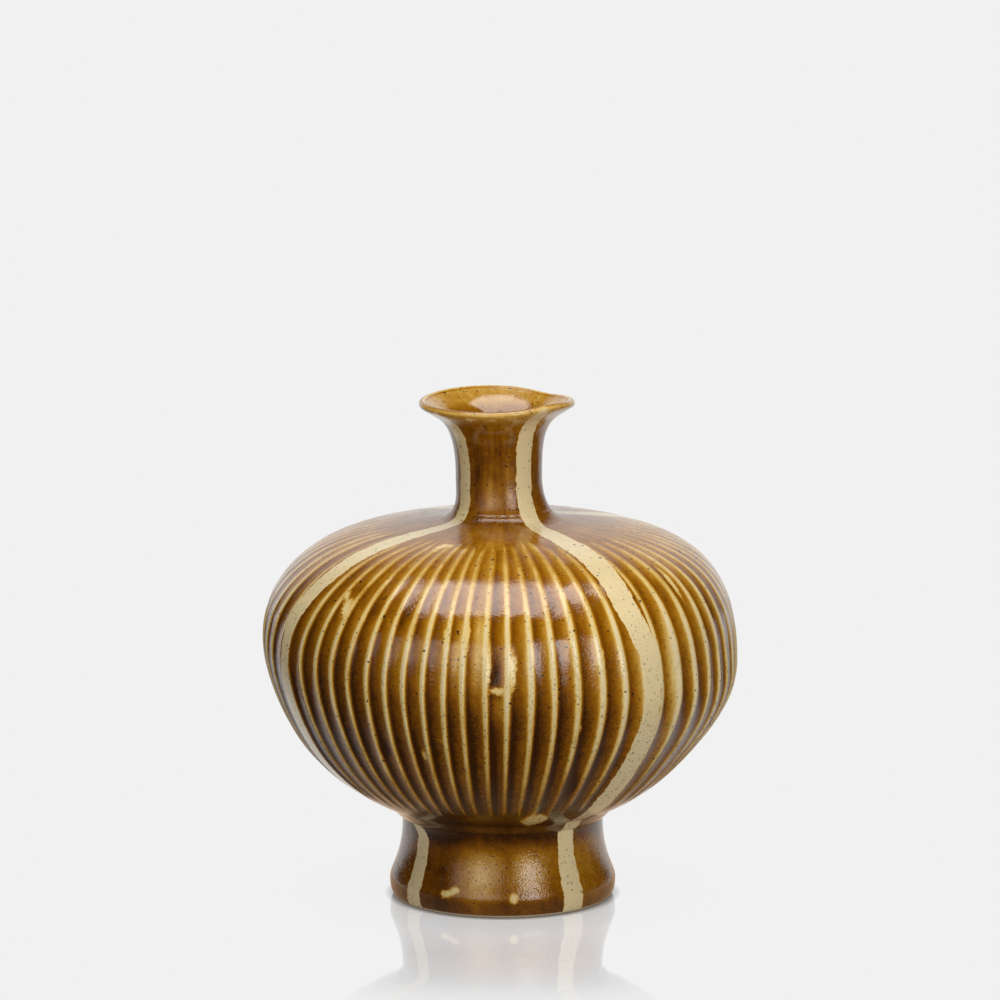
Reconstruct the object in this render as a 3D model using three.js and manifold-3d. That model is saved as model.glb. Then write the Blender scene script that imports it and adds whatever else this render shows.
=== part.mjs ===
// A hand-thrown stoneware vase: a flared foot ring, a wide fluted belly and a trumpet neck.
// The three thrown pieces seat on flat turned faces, and two clay coils fill the corners between them.
// Millimetres, +Z up. The origin is the middle of the ground ring on which the vase stands.
// Azimuths are in degrees, 0 towards -Y, which is the front, and growing towards +X.

import * as THREE from 'three';
import { mergeVertices } from 'three/addons/utils/BufferGeometryUtils.js';
import Module from 'manifold-3d';

// Foot ring
const footHeight = 39.5;          // ground to the flat on which the belly sits
const footGroundRadius = 47.8;    // outside of the bare ring that touches the ground
const footEdgeRadius = 50.6;      // widest place, at the rounded lower edge
const footEdgeHeight = 7.6;       // ground to that widest place
const footEdgeTuck = 0.1;         // how squarely the edge rounds under, as a share of its height
const footEdgeHold = 0.15;        // how far the side stays upright over the edge, as a share of its rise
const footWaistRadius = 44.9;     // narrowest place
const footWaistHold = 0.6;        // the same below the narrowest place
const footWaistDrop = 5.7;        // from the belly's seat down to that narrowest place
const footCreaseStep = 0.3;       // from the narrowest place out to the crease under the coil
const footBevel = 2.2;            // from the crease in to the flat on which the belly sits
const footWall = 6;               // thickness at the seat
const footGroundWidth = 5;        // width of the bare ground ring

// Belly
const bellyRadius = 106;          // at its widest, over the ribs
const bellyHeight = 131.7;        // seat on the foot up to the flat landing under the neck
const equatorRise = 72.4;         // seat on the foot up to the widest place
const undersideLedge = 1.8;       // how far the flat turned under the belly reaches past its seat
const undersideSlope = 17.7;      // degrees, where the wall leaves that flat
const undersideFullness = 0.65;   // how far the wall holds that slope, as a share of its reach
const lowerFullness = 0.3;        // how far the wall stays upright below the widest place
const upperFullness = 0.98;       // the same above it, as a share of the rise to the shoulder
const shoulderSlope = 11;         // degrees, where the shoulder meets the landing
const shoulderFullness = 0.3;     // how far the shoulder holds that slope
const bellyWall = 5.5;            // over the ribs
const bellyFloor = 6;
const hollowMargin = 1;           // the hollow's curved wall stays this far from its floor and the bore
const bellyLean = 2.9;            // degrees: the widest ring slumped a little towards +X
const leanReach = 45;             // above and below the widest place, where that lean dies out

// The pot's axis wanders a little, as on any hand-thrown pot: offsets towards +X
const footOffset = 1.2;           // of the foot ring
const shoulderOffset = 1;         // of the shoulder
const neckOffset = -0.5;          // of the neck at its narrowest
const lipOffset = -1.4;           // of the lip
const footBlend = 25;             // height over which the foot ring's offset dies out in the belly

// Flutes, cut between four uncut bands
const bandAzimuths = [-65.7, 40, 124.5, -150.7];
const bandWidth = 11;             // at the widest place
const bandTaper = 0.6;            // a band narrows to this share of its width towards the ends
const flutePitch = 10.2;          // rib to rib at the widest place
const ribWidth = 2.2;             // flat crest between two flutes at the widest place
const fluteDepth = 1.4;
const fluteTopMargin = 1.1;       // from the landing out to where the flutes begin
const fluteTopFade = 21;          // over which they reach their depth
const fluteFootMargin = 13.5;     // from the foot's coil out to where the flutes have run out
const fluteFootFade = 6;          // over which they lose their depth there

// Neck
const landingRadius = 27.9;       // flat landing on the shoulder, under the neck and its coil
const neckBore = 15;              // radius of the throat, through the neck and the landing
const neckRadius = 19.2;          // outside, at its narrowest
const neckStraight = 18.7;        // landing up to that narrowest place
const neckHeight = 53.1;          // landing up to the top of the lip, before its wave
const lipRadius = 34.7;           // outside of the rolled lip
const lipRoll = 1.6;              // radius of the roll
const lipSlope = 35;              // degrees, where the flare meets the roll
const lipHold = 10;               // how far the flare holds that slope outside
const lipInnerHold = 8;           // the same inside
const flareReach = 27;            // how far the neck stays upright before it flares
const lipWall = 3.2;              // thickness of the flare behind the roll
const lipRise = { azimuth: 48, spread: 32, height: 2.1 };
const lipDip = { azimuth: 137, spread: 20, height: -1.2 };
const lipBack = { azimuth: -165, spread: 45, height: 1.1 };
const lipWaveReach = 20;          // below the lip's top, where its wave dies out

// Coils
const coilGap = 0.3;              // clear of the sloping faces beside a coil
const footCoilReach = 6.7;        // how far the foot's coil runs out along the underside
const footCoilBulge = 0.3;        // roundness of its face
const footCoilDrop = 2.8;         // from the belly's seat down to the crease on the foot ring
const neckCoilEdge = 0.4;         // thickness of the neck's coil where it fades into the neck
const neckCoilRise = 2;           // how low the coil's face runs in over the landing
const neckCoilHold = 0.4;         // how far its face stays upright below the narrowest place

// How finely the shapes are divided
const footColumns = 56;
const neckColumns = 48;
const cavityColumns = 48;
const columnsPerFlute = 4;
const bellySteps = 7;
const cavitySteps = 6;
const footSteps = 6;
const neckSteps = 6;
const filletSteps = 10;
const coilSteps = 4;
const weldDistance = 1e-4;

const landingHeight = footHeight + bellyHeight;
const equatorHeight = footHeight + equatorRise;
const lipTop = landingHeight + neckHeight;
const creaseHeight = footHeight - footCoilDrop;
const creaseRadius = footWaistRadius + footCreaseStep;
const footSeatRadius = creaseRadius - footBevel;
const undersideRadius = footSeatRadius + undersideLedge;
const footCoilRadius = undersideRadius + footCoilReach;
const cos = (degrees) => Math.cos(THREE.MathUtils.degToRad(degrees));
const sin = (degrees) => Math.sin(THREE.MathUtils.degToRad(degrees));
const tan = (degrees) => Math.tan(THREE.MathUtils.degToRad(degrees));

const wasm = await Module();
wasm.setup();

// Turning on the wheel

// A closed outline of radius and height is revolved, with its seam at the front.
function turned(outline, columns) {
  return new THREE.LatheGeometry(outline, columns).rotateX(Math.PI / 2);
}

// Every point of a turned shape is moved by a rule that takes and returns a point.
function shaped(geometry, rule) {
  const position = geometry.attributes.position;
  const point = new THREE.Vector3();
  for (let k = 0; k < position.count; k += 1) {
    rule(point.fromBufferAttribute(position, k), k);
    position.setXYZ(k, point.x, point.y, point.z);
  }
  return geometry;
}

function azimuthOf(point) {
  return THREE.MathUtils.radToDeg(Math.atan2(point.x, -point.y));
}

function welded(geometry) {
  geometry.deleteAttribute('normal');
  geometry.deleteAttribute('uv');
  return mergeVertices(geometry, weldDistance);
}

function solid(geometry) {
  const closed = welded(geometry);
  const mesh = new wasm.Mesh({
    numProp: 3,
    vertProperties: new Float32Array(closed.attributes.position.array),
    triVerts: new Uint32Array(closed.index.array),
  });
  return new wasm.Manifold(mesh);
}

function faceted(body) {
  const mesh = body.getMesh();
  const geometry = new THREE.BufferGeometry();
  geometry.setAttribute('position', new THREE.BufferAttribute(new Float32Array(mesh.vertProperties), 3));
  geometry.setIndex(new THREE.BufferAttribute(new Uint32Array(mesh.triVerts), 1));
  return geometry;
}

// Foot ring

function footRing() {
  const waistHeight = footHeight - footWaistDrop;
  const rise = waistHeight - footEdgeHeight;
  const outline = new THREE.Path();
  outline.moveTo(footGroundRadius - footGroundWidth, 0);
  outline.lineTo(footGroundRadius, 0);
  outline.quadraticCurveTo(footEdgeRadius, footEdgeTuck * footEdgeHeight, footEdgeRadius, footEdgeHeight);
  outline.bezierCurveTo(
    footEdgeRadius, footEdgeHeight + footEdgeHold * rise,
    footWaistRadius, waistHeight - footWaistHold * rise,
    footWaistRadius, waistHeight,
  );
  outline.lineTo(creaseRadius, creaseHeight);
  outline.lineTo(footSeatRadius, footHeight);
  outline.lineTo(footSeatRadius - footWall, footHeight);
  outline.closePath();
  return shaped(turned(outline.getPoints(footSteps), footColumns), settled);
}

// The belly's wall, from its flat underside out to the widest place and in to the landing

function wallOutline(steps) {
  const reach = bellyRadius - undersideRadius;
  const hold = undersideFullness * reach;
  const shoulder = shoulderFullness * (bellyRadius - landingRadius);
  const wall = new THREE.Path();
  wall.moveTo(undersideRadius, footHeight);
  wall.bezierCurveTo(
    undersideRadius + hold * cos(undersideSlope), footHeight + hold * sin(undersideSlope),
    bellyRadius, equatorHeight - lowerFullness * equatorRise,
    bellyRadius, equatorHeight,
  );
  wall.bezierCurveTo(
    bellyRadius, equatorHeight + upperFullness * (landingHeight - equatorHeight),
    landingRadius + shoulder * cos(shoulderSlope), landingHeight - shoulder * sin(shoulderSlope),
    landingRadius, landingHeight,
  );
  return wall.getPoints(steps);
}

// Outward direction of an outline at one of its points
function outwardAt(outline, k) {
  const before = outline[Math.max(k - 1, 0)];
  const after = outline[Math.min(k + 1, outline.length - 1)];
  return new THREE.Vector2(after.y - before.y, before.x - after.x).normalize();
}

// The heights at which the pot's axis has a known offset, from the foot up
const axisStations = [
  [creaseHeight, footOffset],
  [creaseHeight + footBlend, 0],
  [equatorHeight, 0],
  [(equatorHeight + landingHeight) / 2, shoulderOffset],
  [landingHeight, shoulderOffset],
  [landingHeight + neckStraight, neckOffset],
  [lipTop, lipOffset],
];

// How far the axis stands towards +X at a height, eased from one station to the next
function axisOffset(height) {
  let offset = footOffset;
  for (let k = 1; k < axisStations.length; k += 1) {
    const [low, from] = axisStations[k - 1];
    const [high, to] = axisStations[k];
    offset += (to - from) * THREE.MathUtils.smoothstep(height, low, high);
  }
  return offset;
}

// The axis wanders, and the widest ring leans, with a lean that dies out above and below it.
function settled(point) {
  const away = Math.min(1, Math.abs(point.z - equatorHeight) / leanReach);
  const offset = axisOffset(point.z);
  point.z -= tan(bellyLean) * point.x * (1 - away * away) ** 2;
  point.x += offset;
}

// Flutes

// A band's half width in degrees on a ring of the belly
function bandHalfAngle(radius) {
  const width = bandWidth * THREE.MathUtils.lerp(bandTaper, 1, radius / bellyRadius);
  return THREE.MathUtils.radToDeg(width / 2 / radius);
}

// One entry for each upright row of points: its panel, its place among the panel's flutes and its depth
function fluteColumns() {
  const panels = bandAzimuths.map((start, k) => {
    const end = bandAzimuths[(k + 1) % bandAzimuths.length];
    const angle = THREE.MathUtils.euclideanModulo(end - start, 360);
    const free = angle - 2 * bandHalfAngle(bellyRadius);
    const pitchAngle = THREE.MathUtils.radToDeg(flutePitch / bellyRadius);
    return { start, angle, flutes: Math.max(1, Math.round(free / pitchAngle)) };
  });
  const rib = ribWidth / flutePitch / 2;
  const columns = [];
  for (const panel of panels) {
    for (let flute = 0; flute < panel.flutes; flute += 1) {
      for (let k = 0; k < columnsPerFlute; k += 1) {
        const across = rib + (1 - 2 * rib) * k / (columnsPerFlute - 1);
        const edge = k === 0 || k === columnsPerFlute - 1;
        columns.push({ panel, place: (flute + across) / panel.flutes, cut: edge ? 0 : 1 });
      }
    }
  }
  return columns;
}

function columnAzimuth(column, radius) {
  const half = bandHalfAngle(radius);
  return column.panel.start + half + column.place * (column.panel.angle - 2 * half);
}

// Share of the full depth to which a flute is cut on a ring
function cutAt(radius, height) {
  const [start, fade] = height > equatorHeight
    ? [landingRadius + fluteTopMargin, fluteTopFade]
    : [footCoilRadius + fluteFootMargin, fluteFootFade];
  return THREE.MathUtils.smoothstep(radius, start, start + fade) * radius / bellyRadius;
}

function flutedBelly() {
  const outline = [
    new THREE.Vector2(0, footHeight),
    ...wallOutline(bellySteps),
    new THREE.Vector2(0, landingHeight),
  ];
  const columns = fluteColumns();
  return shaped(turned(outline, columns.length), (point, k) => {
    const column = columns[Math.floor(k / outline.length) % columns.length];
    const ring = k % outline.length;
    const { x: radius, y: height } = outline[ring];
    const outward = outwardAt(outline, ring);
    const depth = column.cut * fluteDepth * cutAt(radius, height);
    const azimuth = radius > 0 ? columnAzimuth(column, radius) : 0;
    const cutRadius = radius - depth * outward.x;
    point.set(cutRadius * sin(azimuth), -cutRadius * cos(azimuth), height - depth * outward.y);
    settled(point);
  });
}

// The hollow keeps one wall's thickness inside the belly and opens through the landing.
function bellyHollow() {
  const wall = wallOutline(cavitySteps);
  const floorHeight = footHeight + bellyFloor;
  const inner = wall
    .map((point, k) => point.clone().addScaledVector(outwardAt(wall, k), -bellyWall))
    .filter((point) => point.x > neckBore + hollowMargin && point.y > floorHeight + hollowMargin);
  const outline = [
    new THREE.Vector2(0, floorHeight),
    new THREE.Vector2(undersideRadius - bellyWall / 2, floorHeight),
    ...inner,
    new THREE.Vector2(neckBore, landingHeight - bellyWall),
    new THREE.Vector2(neckBore, landingHeight + bellyWall),
    new THREE.Vector2(0, landingHeight + bellyWall),
  ];
  return shaped(turned(outline, cavityColumns), settled);
}

function belly() {
  return faceted(solid(flutedBelly()).subtract(solid(bellyHollow())));
}

// Neck

function lipWave(point) {
  const azimuth = azimuthOf(point);
  const reach = THREE.MathUtils.smoothstep(point.z, lipTop - lipWaveReach, lipTop);
  for (const bump of [lipRise, lipDip, lipBack]) {
    const away = THREE.MathUtils.euclideanModulo(azimuth - bump.azimuth + 180, 360) - 180;
    point.z += reach * bump.height * Math.exp(-((away / bump.spread) ** 2));
  }
}

function neck() {
  const narrowHeight = landingHeight + neckStraight;
  const rollRadius = lipRadius - lipRoll;
  const rollHeight = lipTop - lipRoll;
  const under = lipSlope - 90;
  const joinRadius = rollRadius + lipRoll * cos(under);
  const joinHeight = rollHeight + lipRoll * sin(under);
  const innerRadius = joinRadius - lipWall * sin(lipSlope);
  const innerHeight = joinHeight + lipWall * cos(lipSlope);
  const outline = new THREE.Path();
  outline.moveTo(neckBore, landingHeight);
  outline.lineTo(neckRadius, landingHeight);
  outline.lineTo(neckRadius, narrowHeight);
  outline.bezierCurveTo(
    neckRadius, narrowHeight + flareReach,
    joinRadius - lipHold * cos(lipSlope), joinHeight - lipHold * sin(lipSlope),
    joinRadius, joinHeight,
  );
  const rollStart = THREE.MathUtils.degToRad(under);
  outline.absarc(rollRadius, rollHeight, lipRoll, rollStart, rollStart + Math.PI);
  outline.bezierCurveTo(
    innerRadius - lipInnerHold * cos(lipSlope), innerHeight - lipInnerHold * sin(lipSlope),
    neckBore, narrowHeight + flareReach,
    neckBore, narrowHeight,
  );
  outline.closePath();
  return shaped(shaped(turned(outline.getPoints(neckSteps), neckColumns), lipWave), settled);
}

// Coils

function footJointCoil() {
  const seat = footHeight - coilGap;
  const tipHeight = footHeight + (footCoilRadius - undersideRadius) * tan(undersideSlope) - 2 * coilGap;
  const outline = new THREE.Path();
  outline.moveTo(creaseRadius + coilGap, creaseHeight);
  outline.quadraticCurveTo(
    (creaseRadius + footCoilRadius) / 2 + footCoilBulge, (creaseHeight + tipHeight) / 2 - footCoilBulge,
    footCoilRadius, tipHeight,
  );
  outline.lineTo(undersideRadius, seat);
  outline.lineTo(footSeatRadius + coilGap, seat);
  outline.closePath();
  return shaped(turned(outline.getPoints(coilSteps), footColumns), settled);
}

function neckJointCoil() {
  const inner = neckRadius + coilGap;
  const fillet = new THREE.CubicBezierCurve(
    new THREE.Vector2(landingRadius, landingHeight),
    new THREE.Vector2(inner, landingHeight + neckCoilRise),
    new THREE.Vector2(neckRadius, landingHeight + neckStraight * (1 - neckCoilHold)),
    new THREE.Vector2(neckRadius, landingHeight + neckStraight),
  );
  const face = fillet.getPoints(filletSteps).filter((point) => point.x > inner + neckCoilEdge);
  const outline = [
    new THREE.Vector2(inner, landingHeight),
    ...face,
    new THREE.Vector2(inner, face.at(-1).y),
    new THREE.Vector2(inner, landingHeight),
  ];
  return shaped(turned(outline, neckColumns), settled);
}

// Glazes

function glaze(color, roughness) {
  return new THREE.MeshStandardMaterial({ color, roughness, metalness: 0 });
}

const pieces = {
  foot_ring: { geometry: footRing(), material: glaze(0x8c5c1c, 0.2) },
  foot_joint_coil: { geometry: footJointCoil(), material: glaze(0x5c3a12, 0.25) },
  belly: { geometry: belly(), material: glaze(0x9a6a26, 0.2) },
  neck_joint_coil: { geometry: neckJointCoil(), material: glaze(0x7a4f18, 0.35) },
  neck: { geometry: neck(), material: glaze(0xa06c22, 0.2) },
};

const vase = new THREE.Group();
for (const [name, { geometry, material }] of Object.entries(pieces)) {
  const piece = new THREE.Mesh(geometry, material);
  piece.name = name;
  vase.add(piece);
}

export default vase;
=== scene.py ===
# %% [markdown]
# # A hand-thrown stoneware vase
#
# The vase stands on a flared foot ring. Its wide belly is cut with upright flutes, between four
# bands that were left uncut. A narrow trumpet neck with a rolled lip closes it at the top.
# Everything wears one runny amber glaze. It breaks to cream on the ribs, where it is thin, and
# pools to a dark brown in the flutes.
#
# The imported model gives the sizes. Each of its five pieces is modelled again here as a finer
# skin that stands in the same place.

import math

import bpy
import numpy as np
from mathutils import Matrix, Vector


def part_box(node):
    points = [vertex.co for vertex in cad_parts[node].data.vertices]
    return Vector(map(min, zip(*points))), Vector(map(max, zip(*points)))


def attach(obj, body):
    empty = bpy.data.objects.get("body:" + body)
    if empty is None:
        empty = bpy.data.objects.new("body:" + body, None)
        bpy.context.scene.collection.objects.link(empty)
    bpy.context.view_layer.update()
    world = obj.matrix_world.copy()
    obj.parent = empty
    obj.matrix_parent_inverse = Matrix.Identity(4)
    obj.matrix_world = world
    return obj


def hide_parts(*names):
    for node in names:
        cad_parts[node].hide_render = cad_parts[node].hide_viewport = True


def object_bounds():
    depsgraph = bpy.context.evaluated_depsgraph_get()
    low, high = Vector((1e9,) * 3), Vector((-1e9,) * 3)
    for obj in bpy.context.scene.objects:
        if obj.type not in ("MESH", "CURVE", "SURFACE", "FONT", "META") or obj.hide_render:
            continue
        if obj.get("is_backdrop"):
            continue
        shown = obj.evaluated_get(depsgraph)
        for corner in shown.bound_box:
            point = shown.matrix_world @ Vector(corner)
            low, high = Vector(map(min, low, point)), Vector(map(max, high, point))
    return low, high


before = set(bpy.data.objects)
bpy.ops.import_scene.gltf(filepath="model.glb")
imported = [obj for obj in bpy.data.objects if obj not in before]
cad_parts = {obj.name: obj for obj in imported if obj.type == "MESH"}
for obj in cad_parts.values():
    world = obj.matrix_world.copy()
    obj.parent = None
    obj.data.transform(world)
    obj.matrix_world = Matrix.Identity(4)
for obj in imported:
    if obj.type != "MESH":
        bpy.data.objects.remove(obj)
CAD_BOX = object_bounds()
MM = 0.001

# %% [markdown]
# ## Sizes
#
# The flat faces on which the pieces sit come from the frame. So do the widest places. The heights of
# the widest ring, of the neck's narrowest ring and of the lip are measured from those faces. The
# curves between them are given in millimetres.

# %% Sizes from the frame
def half_width(node):
    """Half a node's width in millimetres."""
    low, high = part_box(node)
    return (high.y - low.y) / 2 / MM


belly_low, belly_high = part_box("belly")
SEAT = belly_low.z / MM
LANDING = belly_high.z / MM
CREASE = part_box("foot_joint_coil")[0].z / MM
WIDEST = half_width("belly")
FOOT_EDGE = half_width("foot_ring")
FOOT_COIL_REACH = half_width("foot_joint_coil")
NECK_COIL_REACH = half_width("neck_joint_coil")
LIP = half_width("neck")
EQUATOR = SEAT + 72.4
NARROW = LANDING + 18.7
LIP_TOP = LANDING + 53.1
print(f"seat {SEAT:.2f}, landing {LANDING:.2f}, crease {CREASE:.2f}, widest radius {WIDEST:.2f} mm")
print(f"foot edge {FOOT_EDGE:.2f}, lip {LIP:.2f} mm")
print(f"coils {FOOT_COIL_REACH:.2f} and {NECK_COIL_REACH:.2f} mm")

# %% [markdown]
# ## Turning a piece
#
# A potter shapes clay by holding a profile against it while it turns. The same happens here. A
# profile is drawn with Bezier curves in the XZ plane, made a mesh, and spun about the Z axis. Each
# stroke of the profile has its own fineness, so that what shows is smooth and what is hidden is
# cheap. The strokes are joined and welded into one line first, so that the spin gives a closed
# shell.

# %% Drawing a profile
def stroke(points, steps):
    """A mesh line from a chain of cubic Bezier curves: knot, handle, handle, knot, and so on."""
    bpy.ops.curve.primitive_bezier_curve_add(location=(0, 0, 0))
    line = bpy.context.object
    line.data.resolution_u = steps
    spline = line.data.splines[0]
    knots = (len(points) - 1) // 3 + 1
    if knots > 2:
        spline.bezier_points.add(knots - 2)
    for number, knot in enumerate(spline.bezier_points):
        place = 3 * number
        before = points[max(place - 1, 0)]
        after = points[min(place + 1, len(points) - 1)]
        knot.handle_left_type = knot.handle_right_type = "FREE"
        knot.co = (points[place][0] * MM, 0, points[place][1] * MM)
        knot.handle_left = (before[0] * MM, 0, before[1] * MM)
        knot.handle_right = (after[0] * MM, 0, after[1] * MM)
    bpy.ops.object.convert(target="MESH")
    return bpy.context.object


def straight(*corners, steps=1):
    """A mesh line with straight sides, each cut into even steps."""
    points = [corners[0]]
    for (x0, z0), (x1, z1) in zip(corners, corners[1:]):
        points.append((x0 + (x1 - x0) / 3, z0 + (z1 - z0) / 3))
        points.append((x1 + (x0 - x1) / 3, z1 + (z0 - z1) / 3))
        points.append((x1, z1))
    return stroke(points, steps)


def leaving(start, reach, slope):
    """A handle that leaves a knot at a slope in degrees."""
    turn = math.radians(slope)
    return (start[0] + reach * math.cos(turn), start[1] + reach * math.sin(turn))


# %% Spinning it
WELD = 0.002 * MM


def select_only(*pieces):
    """Selects these pieces and makes the first one active."""
    bpy.ops.object.select_all(action="DESELECT")
    for piece in pieces:
        piece.select_set(True)
    bpy.context.view_layer.objects.active = pieces[0]


def turned(name, strokes, columns):
    """Joins strokes into one profile and spins it about the Z axis into a closed shell."""
    select_only(*strokes)
    bpy.ops.object.join()
    piece = bpy.context.object
    piece.name = piece.data.name = name
    bpy.ops.object.mode_set(mode="EDIT")
    bpy.ops.mesh.select_all(action="SELECT")
    bpy.ops.mesh.remove_doubles(threshold=WELD)
    bpy.ops.mesh.spin(steps=columns, angle=math.tau, center=(0, 0, 0), axis=(0, 0, 1))
    bpy.ops.mesh.select_all(action="SELECT")
    bpy.ops.mesh.remove_doubles(threshold=WELD)
    bpy.ops.mesh.normals_make_consistent(inside=False)
    bpy.ops.object.mode_set(mode="OBJECT")
    triangles = sum(len(face.vertices) - 2 for face in piece.data.polygons)
    print(f"{name}: {len(piece.data.vertices)} points, {triangles} triangles")
    return piece


# %% [markdown]
# ## The hand in the clay
#
# A thrown pot is never perfectly round about one line. Its axis wanders by a millimetre, the widest
# ring slumped a little to one side, and the lip waves. Each wave is given by its azimuth, its reach
# in degrees and its height. These rules move the points of every piece alike, so the pieces still
# meet.

# %% Wandering axis, lean and lip wave
LEAN = math.radians(2.9)
LEAN_REACH = 45
AXIS_STATIONS = [
    (CREASE, 1.2), (CREASE + 25, 0), (EQUATOR, 0), ((EQUATOR + LANDING) / 2, 1),
    (LANDING, 1), (NARROW, -0.5), (LIP_TOP, -1.4),
]
LIP_WAVE = [(48, 32, 2.1), (137, 20, -1.2), (-165, 45, 1.1)]
LIP_WAVE_REACH = 20


def eased(value, low, high):
    """A smooth step from 0 at low to 1 at high."""
    share = np.clip((value - low) / (high - low), 0, 1)
    return share * share * (3 - 2 * share)


def along(value, stations):
    """The value between stations of (place, value), eased from one to the next."""
    result = np.full(np.shape(value), float(stations[0][1]))
    for (low, start), (high, end) in zip(stations, stations[1:]):
        result += (end - start) * eased(value, low, high)
    return result


def drifting(value, stations):
    """The value on a smooth line through stations of (place, value), without overshoot."""
    places, values = np.array(stations, float).T
    slope = np.diff(values) / np.diff(places)
    before, after = slope[:-1], slope[1:]
    same_way = before * after > 0
    middle = np.where(same_way, 2 * before * after / np.where(same_way, before + after, 1), 0)
    slopes = np.concatenate([slope[:1], middle, slope[-1:]])
    first = np.clip(np.searchsorted(places, value) - 1, 0, len(places) - 2)
    span = places[first + 1] - places[first]
    share = np.clip((value - places[first]) / span, 0, 1)
    rest = 1 - share
    start = rest**2 * ((1 + 2 * share) * values[first] + share * span * slopes[first])
    return start + share**2 * ((1 + 2 * rest) * values[first + 1] - rest * span * slopes[first + 1])


def turn_away(azimuth, centre):
    """Signed degrees from centre to azimuth, from -180 to 180."""
    return (azimuth - centre + 180) % 360 - 180


def settle(x, y, z):
    """Moves points, in millimetres, by the lip's wave, the lean and the wandering axis."""
    azimuth = np.degrees(np.arctan2(x, -y))
    reach = eased(z, LIP_TOP - LIP_WAVE_REACH, LIP_TOP)
    for centre, spread, height in LIP_WAVE:
        z = z + reach * height * np.exp(-((turn_away(azimuth, centre) / spread) ** 2))
    away = np.clip(np.abs(z - EQUATOR) / LEAN_REACH, 0, 1)
    offset = along(z, AXIS_STATIONS)
    z = z - math.tan(LEAN) * x * (1 - away**2) ** 2
    return x + offset, y, z


# %% [markdown]
# ## Bands
#
# Four bands run down the pot from lip to foot. The potter left them uncut, and kept the amber glaze
# off them, so the clay shows cream under a clear gloss. Each piece was marked by eye, so a band
# drifts sideways from one piece to the next. Under the lip, where the glaze ran over them, the bands
# close. Every point stores how far it lies from the nearest band's edge. The glaze reads that
# distance, and roughens the edge with noise.

# %% Band centres and widths
BANDS = [
    [
        (CREASE - 4, -52), (SEAT + 3, -64), (EQUATOR - 28, -64.4),
        (EQUATOR, -63.5), (EQUATOR + 20, -62.5), (EQUATOR + 32, -60.4),
        (EQUATOR + 44, -57.8), (LANDING - 4, -55.5), (NARROW, -51.7),
    ],
    [
        (CREASE - 4, 38.6), (EQUATOR - 30, 38.6), (EQUATOR + 5, 39.1), (EQUATOR + 14, 38.5),
        (EQUATOR + 27, 35.9), (EQUATOR + 38, 33.9), (LANDING - 4, 33.8), (NARROW, 35.8),
    ],
    [(CREASE - 4, 127), (EQUATOR, 124.5), (EQUATOR + 30, 121), (LANDING, 119)],
    [(CREASE - 4, 212), (EQUATOR, 209.3), (EQUATOR + 30, 213), (LANDING, 215)],
]
BAND_SHARE = [0.9, 1.06, 1.0, 0.95]
BAND_WIDTH = [
    (CREASE - 25, 10.2), (CREASE, 8), (SEAT + 20, 11), (EQUATOR - 14, 9.2), (EQUATOR - 2, 7.9),
    (EQUATOR + 8, 7.9), (EQUATOR + 24, 11), (LANDING - 5, 11.5), (LANDING, 8),
]
FAR = 30.0
LIP_UNDER = LIP_TOP - 3.5
LIP_CLOSING = 1.6


def band_distance(azimuth, radius, height):
    """Millimetres from the nearest band's edge, negative inside the band."""
    nearest = np.full(np.shape(azimuth), FAR)
    for stations, share in zip(BANDS, BAND_SHARE):
        away = np.abs(turn_away(azimuth, drifting(height, stations)))
        distance = np.radians(away) * radius - share * drifting(height, BAND_WIDTH) / 2
        nearest = np.minimum(nearest, distance)
    return nearest + LIP_CLOSING * np.maximum(height - LIP_UNDER, 0)


# %% [markdown]
# ## Happy accidents, and painted highlights on the foot
#
# Glaze misses a place here and there, runs thin, or pools. Such places are listed with their
# azimuth, radius and height, with how far they reach across and along the wall, and with how strong
# they are. A pool below zero is a place where the glaze ran thin, except the two broad thin places on
# the foot's front: they are painted highlights, where the upright softboxes show in the glaze. The
# mesh only carries a soft hill at each. The glaze adds the pools to its coat, and cuts the bare places
# off at an uneven level, which gives them a ragged edge.

# %% Bare places, pools and painted highlights
BARE_PLACES = [
    (-29.5, 57, 167, 2.4, 6, 0.7), (-26, 53, 168, 3, 2.4, 0.7),
    (-44, 98, 144, 3, 6, 0.95), (-46, 94, 149, 1.6, 3, 0.8),
    (-3, 105, 126, 1.6, 10, 0.92), (2.8, 105, 124, 2.1, 11.5, 0.98),
    (-0.6, 106, 115, 3.4, 2.1, 1.05), (-8.9, 101, 137, 1.9, 9, 0.95),
    (-13.8, 100, 136, 1.5, 7, 0.85), (-37, 96, 140, 1.6, 6, 0.8),
    (19.6, 105, 97, 2.2, 4, 0.85), (25, 104, 127, 1.5, 8, 0.8),
    (-20, 96, 82, 1.6, 5, 0.75), (55, 90, 153, 1.6, 11, 1),
    (-15, 101, 90, 2.8, 1.6, 0.7), (-30, 50, 9.5, 3.6, 2, 0.95),
    (-25, 50, 12, 2.6, 2, 0.9), (5.5, 50, 9, 2.4, 2.9, 1),
    (12.5, 61, 46.8, 5.2, 10.5, 1), (17, 63, 48, 2.6, 4, 0.7),
    (-21, 33, 220.5, 3, 2, 0.85), (-4, 33, 220.5, 2.6, 1.8, 0.75),
    (9, 33, 220.5, 2, 1.6, 0.6), (36, 34, 222.5, 4.5, 2.6, 0.75),
]
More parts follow.
